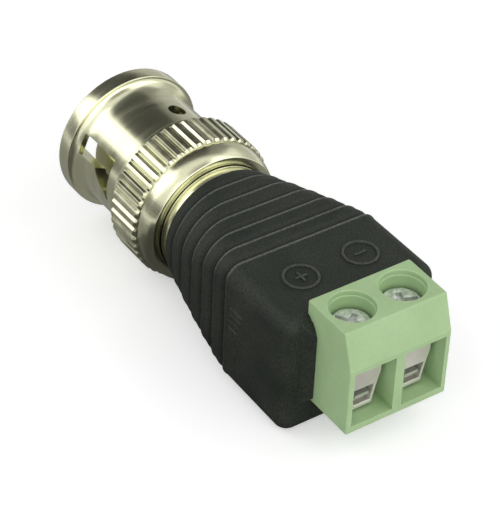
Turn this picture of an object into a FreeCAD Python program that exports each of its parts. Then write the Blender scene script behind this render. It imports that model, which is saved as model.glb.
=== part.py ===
import FreeCAD, Part
import math
import os

from FreeCAD import Vector

# Bayonet plug to two pole screw terminal adapter.
# Millimetres. The plug's axis is X. The origin is the centre of the plug's mouth,
# X runs back to the screw terminals and Z points up to the screw heads.

# Fits shared by several pieces
running_clearance = 0.05
stop_gap = 0.03

# Bayonet coupling nut, outside
flange_diameter = 13.9
flange_width = 1.65
flange_edge = 0.15
flange_blend_end = 3.4
flange_blend_middle = 2.23
flange_blend_middle_diameter = 12.64
barrel_diameter = 12.1
barrel_end = 9.05
knurl_diameter = 14.5
knurl_depth = 0.34
knurl_ribs = 46
knurl_crest_share = 0.28
knurl_root_share = 0.32
knurl_collar = 0.45
knurl_length = 4.05
knurl_chamfer = 0.2
shoulder_length = 1.95
shoulder_bulge = 0.09
shoulder_end_diameter = 13.1

# Bayonet coupling nut, inside
mouth_diameter = 11.1
mouth_lead_in = 1.3
chamber_diameter = 9.9
skirt_diameter = 11.6
skirt_depth = 0.8
web_thickness = 2.1

# Bayonet tracks for the two studs of the mating jack
stud_slot_width = 2.05
stud_groove_wall = 0.4
track_entry_angle = 158
window_front = 2.2
window_rear = 7.05
window_angle = 31
ramp_front = 4.8
ramp_rise = 2.1
ramp_from_angle = 9
ramp_to_angle = 34
detent_return = 0.9
detent_return_angle = 70
detent_angle = 94
detent_place = 6.3
detent_diameter = 1.7

# Spring stack between the body's flange and the nut's web
thrust_washer_thickness = 0.3
wave_washer_height = 1.3
wave_washer_thickness = 0.25
wave_count = 3
washer_rim_gap = 0.1

# Plug body
body_flange_length = 2.1
body_barrel_diameter = 8.4
body_barrel_length = 6.0
body_wall = 0.6
insulator_bore_diameter = 6.2
insulator_bore_depth = 2.0
body_rear_bore_diameter = 5.2

# Slotted outer contact
contact_diameter = 8.1
contact_wall = 0.5
contact_front = 1.65
contact_slits = 4
contact_slit_width = 0.35
contact_slit_angle = 15
contact_slit_root = 7.1

# Gasket that the jack's rim presses on
gasket_thickness = 1.0

# Insulators and centre pin
insulator_front = 7.3
insulator_disc = 1.1
rear_insulator_length = 1.8
pin_diameter = 1.35
pin_tip = 2.3
pin_tip_taper = 0.45
pin_shank_diameter = 2.4
pin_collar_diameter = 1.9
pin_shoulder = 8.8
pin_end = 19.0
solder_cup_diameter = 1.0
solder_cup_depth = 2.0

# Rear collar behind the nut
collar_diameter = 11.3
collar_groove_width = 0.22
collar_groove_depth = 0.25
collar_groove_place = 0.95
collar_neck_diameter = 9.4
collar_neck_length = 2.2
collar_anchor_diameter = 10.6
collar_anchor_length = 1.0
collar_rear_bore = 6.0

# Moulded housing
housing_front = 16.4
housing_end = 37.4
housing_front_diameter = 11.7
housing_front_round = 0.45
taper_end = 28.3
housing_half_width = 7.6
housing_end_spread = 0.1
housing_top = 6.65
housing_bottom = 5.45
housing_foot_relief = 0.02
housing_corner = 1.5
housing_end_round = 1.2
groove_first = 18.0
groove_pitch = 2.04
groove_count = 6
groove_depth = 0.42
groove_rear_lip = 0.3
groove_front_lip = 0.6
lead_chamber_half_width = 4.3
lead_chamber_top = 3.2
lead_chamber_bottom = 2.2

# Lips of the housing that hold the block's sides
lip_reach = 0.7
lip_thickness = 0.15
lip_root = 1.0
lip_top = 5.5
lip_bottom = 1.6
lip_slope = 0.6

# Green terminal block
pole_pitch = 5.08
block_half_width = 5.1
block_seat_depth = 0.84
block_length = 6.17
block_top = 7.88
block_bottom = 2.11
block_slope_run = 1.12
lintel_bottom = 4.57
block_edge = 0.18
outer_wall = 0.47
sill_thickness = 0.7
window_top = 4.15
back_wall = 0.44
lintel_wall = 1.0
roof_thickness = 0.5
ledge_height = 5.0
plinth_length = 2.96
plinth_half_width = 4.4
plinth_top = 5.4
plinth_bottom = 1.3

# Screws in the block
screw_setback = 2.49
well_diameter = 3.8
well_rim_diameter = 4.1
well_rim_depth = 0.5
screw_head_diameter = 3.5
screw_head_height = 1.25
screw_head_edge = 0.22
screw_shank_length = 3.05
recess_width = 0.55
recess_length = 2.9
recess_cross_length = 2.1
recess_depth = 0.5
recess_turn_plus = 35
recess_turn_minus = 70

# Rising clamp cages
cage_recess = 1.43
cage_side_gap = 0.34
cage_thread_wall = 0.3
cage_block_height = 2.5
cage_block_bottom = 0.8
cage_taper_share = 0.81
cage_foot_share = 0.6
cage_leg = 0.28
cage_window_height = 1.6
cage_bar_thickness = 0.42
cage_rib_height = 0.12
cage_rib_width = 0.22
cage_rib_pitch = 0.68
cage_rib_count = 4

# Fixed contact blades
blade_top = 0.1
blade_thickness = 0.3
blade_side_gap = 0.07
blade_front_gap = 0.1
blade_tail = 2.1

# Tag and leads inside the housing
tag_thickness = 0.4
tag_outer_diameter = 9.2
tag_tab_place = 3.4
tag_tab_length = 2.6
tag_tab_half_width = 0.9
lead_diameter = 0.9
lead_straight = 3.4
lead_bend = 2.2
lead_overlap = 1.5

# Places that follow from the sizes above
ORIGIN = Vector(0, 0, 0)
X_AXIS = Vector(1, 0, 0)
Y_AXIS = Vector(0, 1, 0)
Z_AXIS = Vector(0, 0, 1)

flange_r = flange_diameter / 2
barrel_r = barrel_diameter / 2
knurl_r = knurl_diameter / 2
knurl_root_r = knurl_r - knurl_depth
mouth_r = mouth_diameter / 2
chamber_r = chamber_diameter / 2
stud_groove_r = barrel_r - stud_groove_wall
body_barrel_r = body_barrel_diameter / 2
contact_r = contact_diameter / 2
collar_r = collar_diameter / 2
lead_r = lead_diameter / 2

knurl_end = barrel_end + knurl_collar + knurl_length
nut_end = knurl_end + shoulder_length
web_rear = nut_end - skirt_depth
web_front = web_rear - web_thickness
thrust_front = web_front - stop_gap - thrust_washer_thickness
body_flange_rear = thrust_front - wave_washer_height
body_flange_front = body_flange_rear - body_flange_length
body_end = body_flange_rear + body_barrel_length
contact_base_r = body_barrel_r - body_wall
washer_inner_r = body_barrel_r + running_clearance
washer_outer_r = chamber_r - washer_rim_gap

collar_front = web_rear + stop_gap
collar_anchor_front = housing_front + collar_neck_length
collar_rear = collar_anchor_front + collar_anchor_length
tag_rear = collar_rear + tag_thickness

block_back = housing_end - block_seat_depth
block_front = block_back + block_length
block_top_front = block_front - block_slope_run
block_plinth_front = block_back - plinth_length
screw_place = block_back + screw_setback
cage_front = block_front - cage_recess
chamber_back = block_back + back_wall
chamber_roof = ledge_height - roof_thickness
sill_z = sill_thickness - block_bottom
pole_half_width = block_half_width - outer_wall - pole_pitch / 2
cage_half_width = pole_half_width - cage_side_gap
cage_taper_half_width = cage_half_width * cage_taper_share
cage_foot_half_width = cage_half_width * cage_foot_share
screw_shank_r = cage_half_width - cage_thread_wall
blade_half_width = cage_foot_half_width - cage_leg - blade_side_gap
blade_front = cage_front - blade_front_gap
blade_bottom = blade_top - blade_thickness
blade_rear = block_plinth_front - blade_tail
lead_z = blade_top + lead_r
pole_y = {"plus": -pole_pitch / 2, "minus": pole_pitch / 2}
recess_turn = {"plus": recess_turn_plus, "minus": recess_turn_minus}


def turned(start, *steps):
    """Solid of revolution about X. A step is (x, r) for a line, or (xm, rm, x, r) for an arc."""
    edges = []
    here = Vector(start[0], 0, start[1])
    first = here
    for step in steps:
        there = Vector(step[-2], 0, step[-1])
        if len(step) == 2:
            edges.append(Part.makeLine(here, there))
        else:
            middle = Vector(step[0], 0, step[1])
            edges.append(Part.Arc(here, middle, there).toShape())
        here = there
    edges.append(Part.makeLine(here, first))
    return Part.Face(Part.Wire(edges)).revolve(ORIGIN, X_AXIS, 360)


def ring(x_low, x_high, r_inner, r_outer):
    return turned((x_low, r_inner), (x_low, r_outer), (x_high, r_outer), (x_high, r_inner))


def rod(x_low, x_high, radius):
    return Part.makeCylinder(radius, x_high - x_low, Vector(x_low, 0, 0), X_AXIS)


def box(x_low, x_high, y_low, y_high, z_low, z_high):
    corner = Vector(x_low, y_low, z_low)
    return Part.makeBox(x_high - x_low, y_high - y_low, z_high - z_low, corner)


def upright(radius, x, y, z_low, z_high):
    return Part.makeCylinder(radius, z_high - z_low, Vector(x, y, z_low), Z_AXIS)


def turned_about_axis(shape, angle):
    copy = shape.copy()
    copy.rotate(ORIGIN, X_AXIS, angle)
    return copy


def polar(x, radius, angle):
    return Vector(x, radius * math.cos(math.radians(angle)), radius * math.sin(math.radians(angle)))


def prism_along_x(points, x_low, x_high):
    corners = [Vector(x_low, y, z) for y, z in points]
    face = Part.Face(Part.makePolygon(corners + corners[:1]))
    return face.extrude(Vector(x_high - x_low, 0, 0))


def prism_along_y(points, y_low, y_high):
    corners = [Vector(x, y_low, z) for x, z in points]
    face = Part.Face(Part.makePolygon(corners + corners[:1]))
    return face.extrude(Vector(0, y_high - y_low, 0))


def prism_along_z(points, z_low, z_high):
    corners = [Vector(x, y, z_low) for x, y in points]
    face = Part.Face(Part.makePolygon(corners + corners[:1]))
    return face.extrude(Vector(0, 0, z_high - z_low))


# Coupling nut: turned outline, straight knurl, two bayonet tracks

def knurl_band():
    """Straight ribs round the nut, with chamfered ends."""
    pitch = 360 / knurl_ribs
    crest = pitch * knurl_crest_share / 2
    foot = pitch * (1 - knurl_root_share) / 2
    outline = []
    for rib in range(knurl_ribs):
        middle = rib * pitch
        outline.append((middle - foot, knurl_root_r))
        outline.append((middle - crest, knurl_r))
        outline.append((middle + crest, knurl_r))
        outline.append((middle + foot, knurl_root_r))
    start = barrel_end + knurl_collar
    corners = [polar(start, radius, angle) for angle, radius in outline]
    face = Part.Face(Part.makePolygon(corners + corners[:1]))
    ribs = face.extrude(Vector(knurl_length, 0, 0))
    envelope = turned(
        (start, chamber_r),
        (start, knurl_r - knurl_chamfer),
        (start + 2 * knurl_chamfer, knurl_r + knurl_chamfer),
        (knurl_end - 2 * knurl_chamfer, knurl_r + knurl_chamfer),
        (knurl_end, knurl_r - knurl_chamfer),
        (knurl_end, chamber_r),
    )
    return ribs.common(envelope)


def eased(share):
    """Smooth step from 0 to 1."""
    share = min(1, max(0, share))
    return share * share * (3 - 2 * share)


def ramp_edge(angle):
    """Place along X of the track's front wall, at an angle past the entry."""
    rise = eased((angle - ramp_from_angle) / (ramp_to_angle - ramp_from_angle))
    back = eased((angle - detent_return_angle) / (detent_angle - detent_return_angle))
    return ramp_front + ramp_rise * rise - detent_return * back


def ramp_cut(last_angle, steps, outer_r, rear=None):
    """The ramp of one track, as a ruled loft through radial sections."""
    inner_r = chamber_r - stud_slot_width / 4
    sections = []
    for step in range(steps + 1):
        angle = last_angle * step / steps
        front = ramp_edge(angle)
        back = rear or front + stud_slot_width
        turn = track_entry_angle + angle
        corners = [
            polar(front, inner_r, turn),
            polar(back, inner_r, turn),
            polar(back, outer_r, turn),
            polar(front, outer_r, turn),
        ]
        sections.append(Part.makePolygon(corners + corners[:1]))
    return Part.makeLoft(sections, True, True)


def bayonet_track():
    """Everything that one stud of the jack runs in: entry, ramp, window and detent hole."""
    half = stud_slot_width / 2
    inner_r = chamber_r - half / 2
    through_r = barrel_r + half
    entry = box(-half, ramp_front + stud_slot_width, inner_r, stud_groove_r, -half, half)
    window = box(window_front, window_rear, inner_r, through_r, -half, half)
    entry = turned_about_axis(entry, track_entry_angle)
    window = turned_about_axis(window, track_entry_angle)
    ramp = ramp_cut(detent_angle, 10, stud_groove_r)
    ramp_window = ramp_cut(window_angle, 4, through_r, window_rear)
    detent_turn = track_entry_angle + detent_angle
    detent_base = polar(detent_place, inner_r, detent_turn)
    detent_axis = polar(0, 1, detent_turn)
    detent = Part.makeCylinder(detent_diameter / 2, through_r - inner_r, detent_base, detent_axis)
    return [entry, window, ramp, ramp_window, detent]


def coupling_nut():
    blend_r = flange_blend_middle_diameter / 2
    shoulder_r = shoulder_end_diameter / 2
    shoulder_middle_x = knurl_end + shoulder_length / 2
    shoulder_middle_r = (knurl_root_r + shoulder_r) / 2 + shoulder_bulge
    nut = turned(
        (0, mouth_r),
        (0, flange_r - flange_edge),
        (flange_edge, flange_r),
        (flange_width, flange_r),
        (flange_blend_middle, blend_r, flange_blend_end, barrel_r),
        (barrel_end, barrel_r),
        (barrel_end, knurl_root_r),
        (knurl_end, knurl_root_r),
        (shoulder_middle_x, shoulder_middle_r, nut_end - flange_edge, shoulder_r),
        (nut_end, shoulder_r - flange_edge),
        (nut_end, skirt_diameter / 2),
        (web_rear, skirt_diameter / 2),
        (web_rear, washer_inner_r),
        (web_front, washer_inner_r),
        (web_front, chamber_r),
        (mouth_lead_in, chamber_r),
    )
    nut = nut.fuse(knurl_band())
    cuts = []
    for turn in (0, 180):
        cuts += [turned_about_axis(cut, turn) for cut in bayonet_track()]
    for cut in cuts:
        nut = nut.cut(cut)
    return nut.removeSplitter()


# Metal and insulating pieces of the plug

def connector_body():
    """Turned body. Its flange carries the spring, its bores hold the contact and the insulators."""
    bore_step = body_flange_rear + insulator_bore_depth
    return turned(
        (body_flange_front, contact_base_r),
        (body_flange_front, washer_outer_r),
        (body_flange_rear, washer_outer_r),
        (body_flange_rear, body_barrel_r),
        (body_end, body_barrel_r),
        (body_end, body_rear_bore_diameter / 2),
        (bore_step, body_rear_bore_diameter / 2),
        (bore_step, insulator_bore_diameter / 2),
        (body_flange_rear, insulator_bore_diameter / 2),
        (body_flange_rear, contact_base_r),
    )


def outer_contact():
    """Spring sleeve that slips inside the jack, with four slits from its front edge."""
    bore_r = contact_r - contact_wall
    disc_rear = insulator_front + insulator_disc
    sleeve = turned(
        (contact_front, bore_r + contact_wall * 0.4),
        (contact_front, contact_r - contact_wall * 0.3),
        (contact_front + contact_wall * 0.6, contact_r),
        (body_flange_front, contact_r),
        (body_flange_front, contact_base_r),
        (body_flange_rear, contact_base_r),
        (body_flange_rear, insulator_bore_diameter / 2),
        (disc_rear, insulator_bore_diameter / 2),
        (disc_rear, bore_r),
        (contact_front + contact_wall * 0.8, bore_r),
    )
    half = contact_slit_width / 2
    slit = box(contact_front - half, contact_slit_root, 0, contact_r + half, -half, half)
    for index in range(contact_slits):
        turn = contact_slit_angle + index * 360 / contact_slits
        sleeve = sleeve.cut(turned_about_axis(slit, turn))
    return sleeve


def sealing_gasket():
    return ring(body_flange_front - gasket_thickness, body_flange_front, contact_r, washer_outer_r)


def front_insulator():
    """White plug that holds the pin on the axis. The pin's shoulder stops against its inner step."""
    disc_rear = insulator_front + insulator_disc
    rear = body_flange_rear + insulator_bore_depth
    return turned(
        (insulator_front, pin_collar_diameter / 2),
        (insulator_front, contact_r - contact_wall),
        (disc_rear, contact_r - contact_wall),
        (disc_rear, insulator_bore_diameter / 2),
        (rear, insulator_bore_diameter / 2),
        (rear, pin_shank_diameter / 2),
        (pin_shoulder, pin_shank_diameter / 2),
        (pin_shoulder, pin_collar_diameter / 2),
    )


def rear_insulator():
    start = body_end - rear_insulator_length
    return ring(start, body_end, pin_shank_diameter / 2, body_rear_bore_diameter / 2)


def centre_pin():
    tip_r = pin_diameter / 4
    pin = turned(
        (pin_tip, 0),
        (pin_tip, tip_r),
        (pin_tip + pin_tip_taper, pin_diameter / 2),
        (insulator_front, pin_diameter / 2),
        (insulator_front, pin_collar_diameter / 2),
        (pin_shoulder, pin_collar_diameter / 2),
        (pin_shoulder, pin_shank_diameter / 2),
        (pin_end, pin_shank_diameter / 2),
        (pin_end, 0),
    )
    cup = rod(pin_end - solder_cup_depth, pin_end + solder_cup_diameter, solder_cup_diameter / 2)
    return pin.cut(cup)


def rear_collar():
    """Collar pressed on the body behind the nut, with the neck that the housing is moulded on."""
    groove_front = collar_front + collar_groove_place
    groove_rear = groove_front + collar_groove_width
    groove_r = collar_r - collar_groove_depth
    return turned(
        (collar_front, body_barrel_r),
        (collar_front, collar_r),
        (groove_front, collar_r),
        (groove_front, groove_r),
        (groove_rear, groove_r),
        (groove_rear, collar_r),
        (housing_front, collar_r),
        (housing_front, collar_neck_diameter / 2),
        (collar_anchor_front, collar_neck_diameter / 2),
        (collar_anchor_front, collar_anchor_diameter / 2),
        (collar_rear, collar_anchor_diameter / 2),
        (collar_rear, collar_rear_bore / 2),
        (body_end, collar_rear_bore / 2),
        (body_end, body_barrel_r),
    )


def thrust_washer():
    rear = thrust_front + thrust_washer_thickness
    return ring(thrust_front, rear, washer_inner_r, washer_outer_r)


def wave_washer():
    """Closed ring of flat strip with three waves, built from plane triangles."""
    steps = 12 * wave_count
    swing = (wave_washer_height - wave_washer_thickness) / 2
    middle = (body_flange_rear + thrust_front) / 2
    corners = []
    for step in range(steps):
        angle = 360 * step / steps
        centre = middle + swing * math.cos(math.radians(angle * wave_count))
        low = centre - wave_washer_thickness / 2
        high = centre + wave_washer_thickness / 2
        corners.append([
            polar(low, washer_inner_r, angle),
            polar(low, washer_outer_r, angle),
            polar(high, washer_outer_r, angle),
            polar(high, washer_inner_r, angle),
        ])
    faces = []
    for step in range(steps):
        here = corners[step]
        there = corners[(step + 1) % steps]
        for side in range(4):
            a, b = here[side], here[(side + 1) % 4]
            c, d = there[(side + 1) % 4], there[side]
            faces.append(Part.Face(Part.makePolygon([a, b, c, a])))
            faces.append(Part.Face(Part.makePolygon([a, c, d, a])))
    washer = Part.Solid(Part.Shell(faces))
    if washer.Volume < 0:
        washer.reverse()
    return washer


# Moulded housing: a round front that swells into a rounded box, with ribs on the tapered part

def housing_section(x, inset):
    """Closed outline across the housing at x, drawn in by inset all round."""
    share = min(1, (x - housing_front) / (taper_end - housing_front))
    front_r = housing_front_diameter / 2
    swell = share * (1.4 - 0.4 * share)
    past = max(0, (x - taper_end) / (housing_end - taper_end))
    half_width = front_r + (housing_half_width - front_r) * swell + housing_end_spread * past
    top = front_r + (housing_top - front_r) * share
    bottom = -front_r - (housing_bottom + housing_foot_relief - front_r) * share
    corner = front_r * 0.98 + (housing_corner - front_r * 0.98) * share
    y_far = half_width - inset
    z_high = top - inset
    z_low = bottom + inset
    radius = max(corner - inset, 0.05)
    nip = radius * (1 - math.sqrt(0.5))
    right = y_far - radius
    high = z_high - radius
    low = z_low + radius
    return Part.Wire([
        Part.makeLine(Vector(x, -right, z_high), Vector(x, right, z_high)),
        Part.Arc(Vector(x, right, z_high), Vector(x, y_far - nip, z_high - nip),
                 Vector(x, y_far, high)).toShape(),
        Part.makeLine(Vector(x, y_far, high), Vector(x, y_far, low)),
        Part.Arc(Vector(x, y_far, low), Vector(x, y_far - nip, z_low + nip),
                 Vector(x, right, z_low)).toShape(),
        Part.makeLine(Vector(x, right, z_low), Vector(x, -right, z_low)),
        Part.Arc(Vector(x, -right, z_low), Vector(x, nip - y_far, z_low + nip),
                 Vector(x, -y_far, low)).toShape(),
        Part.makeLine(Vector(x, -y_far, low), Vector(x, -y_far, high)),
        Part.Arc(Vector(x, -y_far, high), Vector(x, nip - y_far, z_high - nip),
                 Vector(x, -right, z_high)).toShape(),
    ])


def housing_stations():
    """Pairs of place along X and inset, from the front edge over the ribs to the end face."""
    stations = []
    for turn in (0, 30, 60, 90):
        lean = math.radians(turn)
        place = housing_front + housing_front_round * (1 - math.cos(lean))
        stations.append((place, housing_front_round * (1 - math.sin(lean))))
    for index in range(groove_count):
        groove = groove_first + index * groove_pitch
        stations.append((groove - groove_front_lip, 0))
        stations.append((groove - groove_front_lip * 0.5, groove_depth * 0.2))
        stations.append((groove, groove_depth))
        stations.append((groove + groove_rear_lip * 0.5, groove_depth * 0.15))
        stations.append((groove + groove_rear_lip, 0))
    round_start = housing_end - housing_end_round
    for turn in (0, 22.5, 45, 67.5, 90):
        lean = math.radians(turn)
        place = round_start + housing_end_round * math.sin(lean)
        stations.append((place, housing_end_round * (1 - math.cos(lean))))
    return stations


def housing_lips():
    """Two lips that carry the end face forward along the block's sides and thin out to an edge."""
    start = housing_end - housing_end_round
    tip = housing_end + lip_reach
    root = block_half_width + lip_root
    side = [
        (start, -lip_bottom - lip_slope),
        (housing_end, -lip_bottom - lip_slope),
        (tip, -lip_bottom),
        (tip, lip_top - lip_slope),
        (housing_end + lip_reach * 0.6, lip_top),
        (housing_end, lip_top + lip_slope),
        (start, lip_top + lip_slope),
    ]
    plan = [
        (start, block_half_width),
        (tip, block_half_width),
        (tip, block_half_width + lip_thickness),
        (housing_end, root),
        (start, root),
    ]
    wedge = prism_along_z(plan, -lip_bottom - lip_slope, lip_top + lip_slope)
    lip = wedge.common(prism_along_y(side, block_half_width, root))
    return [lip, lip.mirror(ORIGIN, Y_AXIS)]


def housing():
    sections = [housing_section(x, inset) for x, inset in housing_stations()]
    shell = Part.makeLoft(sections, True, True)
    for lip in housing_lips():
        shell = shell.fuse(lip)
    beyond = housing_end_round
    hollows = [
        box(taper_end, housing_end, -housing_half_width, housing_half_width,
            -housing_bottom - beyond, -housing_bottom),
        rod(housing_front - beyond, collar_anchor_front, collar_neck_diameter / 2),
        rod(collar_anchor_front, collar_rear, collar_anchor_diameter / 2),
        rod(collar_rear, tag_rear, tag_outer_diameter / 2),
        box(tag_rear, block_plinth_front, -lead_chamber_half_width, lead_chamber_half_width,
            -lead_chamber_bottom, lead_chamber_top),
        box(block_plinth_front, block_back, -plinth_half_width, plinth_half_width,
            -plinth_bottom, plinth_top),
        box(block_back, housing_end + lip_reach + beyond, -block_half_width, block_half_width,
            -block_bottom, block_top),
    ]
    for hollow in hollows:
        shell = shell.cut(hollow)
    return shell


# Terminal block with its screws, cages and blades

def terminal_block():
    """Two pole block: sloped front, a wire window and a screw well for each pole."""
    outline = [
        (block_back, -block_bottom),
        (block_front, -block_bottom),
        (block_front, lintel_bottom),
        (block_top_front, block_top),
        (block_back, block_top),
    ]
    block = prism_along_y(outline, -block_half_width, block_half_width)
    block = block.makeFillet(block_edge, block.Edges)
    plinth = box(block_plinth_front, block_back + back_wall / 2, -plinth_half_width,
                 plinth_half_width, -plinth_bottom, plinth_top)
    block = block.fuse(plinth)
    beyond = block_front + sill_thickness
    for y in pole_y.values():
        y_low = y - pole_half_width
        y_high = y + pole_half_width
        cage_room = box(chamber_back, block_front - lintel_wall, y_low, y_high, sill_z, chamber_roof)
        window = box(chamber_back, beyond, y_low, y_high, sill_z, window_top)
        slot = box(blade_rear, chamber_back + back_wall, y - blade_half_width,
                   y + blade_half_width, blade_bottom, blade_top)
        hole_r = screw_shank_r + 2 * running_clearance
        hole = upright(hole_r, screw_place, y, chamber_roof - roof_thickness, ledge_height)
        well = upright(well_diameter / 2, screw_place, y, ledge_height, block_top + well_rim_depth)
        rim = upright(well_rim_diameter / 2, screw_place, y, block_top - well_rim_depth,
                      block_top + well_rim_depth)
        for cut in (cage_room, window, slot, hole, well, rim):
            block = block.cut(cut)
    return block


def clamp_screw(y, turn):
    """Cheese head screw with a combined slot and cross recess. It turns without moving down."""
    seat = ledge_height + stop_gap
    top = seat + screw_head_height
    head_r = screw_head_diameter / 2
    head = upright(head_r, screw_place, y, seat, top - screw_head_edge)
    crown = Part.makeCone(head_r, head_r - screw_head_edge, screw_head_edge,
                          Vector(screw_place, y, top - screw_head_edge), Z_AXIS)
    shank = upright(screw_shank_r, screw_place, y, seat - screw_shank_length, seat)
    screw = head.fuse(crown).fuse(shank)
    slot = box(screw_place - recess_length / 2, screw_place + recess_length / 2,
               y - recess_width / 2, y + recess_width / 2, top - recess_depth, top + recess_depth)
    cross = box(screw_place - recess_width / 2, screw_place + recess_width / 2,
                y - recess_cross_length / 2, y + recess_cross_length / 2,
                top - recess_depth, top + recess_depth)
    recess = slot.fuse(cross)
    recess.rotate(Vector(screw_place, y, top), Z_AXIS, turn)
    return screw.cut(recess).removeSplitter()


def clamp_cage(y):
    """Folded cage with a threaded top block. Its ribbed foot lifts the wire against the blade."""
    top = cage_block_bottom + cage_block_height
    foot_top = cage_block_bottom - cage_window_height
    foot_bottom = foot_top - cage_bar_thickness
    back = chamber_back + running_clearance
    taper_top = cage_block_bottom + cage_block_height * 0.45
    right = [
        (cage_half_width, top),
        (cage_half_width, taper_top),
        (cage_taper_half_width, cage_block_bottom),
        (cage_foot_half_width, foot_top),
        (cage_foot_half_width, foot_bottom),
    ]
    outline = [(y + half, z) for half, z in right]
    outline += [(y - half, z) for half, z in reversed(right)]
    cage = prism_along_x(outline, back, cage_front)
    hole_top = cage_taper_half_width - cage_leg
    hole_foot = cage_foot_half_width - cage_leg
    groove_z = foot_top - cage_rib_height
    hole = [
        (y - hole_foot, groove_z),
        (y + hole_foot, groove_z),
        (y + hole_top, cage_block_bottom),
        (y - hole_top, cage_block_bottom),
    ]
    cage = cage.cut(prism_along_x(hole, back - cage_leg, cage_front + cage_leg))
    for index in range(cage_rib_count):
        rib_front = cage_front - index * cage_rib_pitch
        rib = box(rib_front - cage_rib_width, rib_front, y - hole_foot, y + hole_foot,
                  groove_z, foot_top)
        cage = cage.fuse(rib)
    thread_r = screw_shank_r + running_clearance
    thread = upright(thread_r, screw_place, y, cage_block_bottom - cage_leg, top + cage_leg)
    return cage.cut(thread).removeSplitter()


def contact_blade(y):
    """Flat blade: its front lies in the cage, its tail takes the lead."""
    return box(blade_rear, blade_front, y - blade_half_width, y + blade_half_width,
               blade_bottom, blade_top)


# Ground tag and the two soldered leads in the housing

def ground_tag():
    """Ring on the collar's end with a tab bent back along the lead."""
    disc = ring(collar_rear, tag_rear, collar_rear_bore / 2, tag_outer_diameter / 2)
    tab = box(collar_rear, tag_rear + tag_tab_length, tag_tab_place,
              tag_tab_place + tag_thickness, -tag_tab_half_width, tag_tab_half_width)
    return disc.fuse(tab).removeSplitter()


def bent_lead(points, bend):
    """Round wire along straight runs joined by tangent arcs."""
    edges = []
    here = points[0]
    for index in range(1, len(points) - 1):
        corner = points[index]
        into = (points[index] - points[index - 1]).normalize()
        out = (points[index + 1] - points[index]).normalize()
        turn = into.getAngle(out)
        reach = bend * math.tan(turn / 2)
        start = corner - into * reach
        end = corner + out * reach
        inward = (out - into).normalize()
        middle = corner + inward * (bend / math.cos(turn / 2) - bend)
        edges.append(Part.makeLine(here, start))
        edges.append(Part.Arc(start, middle, end).toShape())
        here = end
    edges.append(Part.makeLine(here, points[-1]))
    path = Part.Wire(edges)
    heading = (points[1] - points[0]).normalize()
    section = Part.Wire([Part.makeCircle(lead_r, points[0], heading)])
    return path.makePipeShell([section], True, False)


def signal_lead():
    start = pin_end - solder_cup_depth
    bend_x = pin_end + lead_straight
    y = pole_y["plus"]
    land = blade_rear + lead_overlap
    return bent_lead([
        Vector(start, 0, 0),
        Vector(bend_x, 0, 0),
        Vector(blade_rear - lead_bend, y, lead_z),
        Vector(land, y, lead_z),
    ], lead_bend)


def ground_lead():
    start_y = tag_tab_place - lead_r
    bend_x = tag_rear + tag_tab_length + lead_bend / 2
    y = pole_y["minus"]
    land = blade_rear + lead_overlap
    return bent_lead([
        Vector(tag_rear + lead_r, start_y, 0),
        Vector(bend_x, start_y, 0),
        Vector(blade_rear - lead_bend, y, lead_z),
        Vector(land, y, lead_z),
    ], lead_bend)


pieces = {
    "coupling_nut": coupling_nut(),
    "connector_body": connector_body(),
    "outer_contact": outer_contact(),
    "sealing_gasket": sealing_gasket(),
    "front_insulator": front_insulator(),
    "centre_pin": centre_pin(),
    "rear_insulator": rear_insulator(),
    "rear_collar": rear_collar(),
    "thrust_washer": thrust_washer(),
    "wave_washer": wave_washer(),
    "housing": housing(),
    "terminal_block": terminal_block(),
    "ground_tag": ground_tag(),
    "signal_lead": signal_lead(),
    "ground_lead": ground_lead(),
}
for pole, pole_place in pole_y.items():
    pieces["clamp_screw_" + pole] = clamp_screw(pole_place, recess_turn[pole])
    pieces["clamp_cage_" + pole] = clamp_cage(pole_place)
    pieces["contact_blade_" + pole] = contact_blade(pole_place)

os.makedirs("parts", exist_ok=True)
for node, shape in pieces.items():
    solids = shape.Solids
    print(node, len(solids), "solid", round(shape.Volume, 3), "mm3", "valid", shape.isValid())
    shape.exportStep("parts/" + node + ".step")
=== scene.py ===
import math

import bmesh
import bpy
from mathutils import Matrix, Vector


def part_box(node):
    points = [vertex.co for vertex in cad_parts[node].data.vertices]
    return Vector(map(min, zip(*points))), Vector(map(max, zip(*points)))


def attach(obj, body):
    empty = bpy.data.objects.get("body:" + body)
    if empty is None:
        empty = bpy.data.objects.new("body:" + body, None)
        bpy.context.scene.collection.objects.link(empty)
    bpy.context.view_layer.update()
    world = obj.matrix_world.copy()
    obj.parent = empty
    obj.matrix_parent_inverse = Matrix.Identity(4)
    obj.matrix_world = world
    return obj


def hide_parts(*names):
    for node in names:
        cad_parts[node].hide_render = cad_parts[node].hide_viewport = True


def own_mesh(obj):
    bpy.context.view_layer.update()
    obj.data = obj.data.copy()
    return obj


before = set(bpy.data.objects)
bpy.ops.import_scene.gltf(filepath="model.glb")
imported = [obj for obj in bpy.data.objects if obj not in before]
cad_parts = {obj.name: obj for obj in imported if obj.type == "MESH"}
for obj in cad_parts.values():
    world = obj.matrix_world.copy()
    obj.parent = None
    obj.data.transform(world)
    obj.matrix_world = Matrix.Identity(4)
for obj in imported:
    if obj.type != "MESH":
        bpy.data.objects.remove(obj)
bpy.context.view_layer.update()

# Coupling nut. A turned and nickel plated sleeve with a straight rolled knurl. Its two
# cam tracks are open at the mouth, and each ends in a round hole that locks a stud of
# the jack. It turns on the plug's body and is pushed forward against a spring.

MM = 0.001


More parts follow.
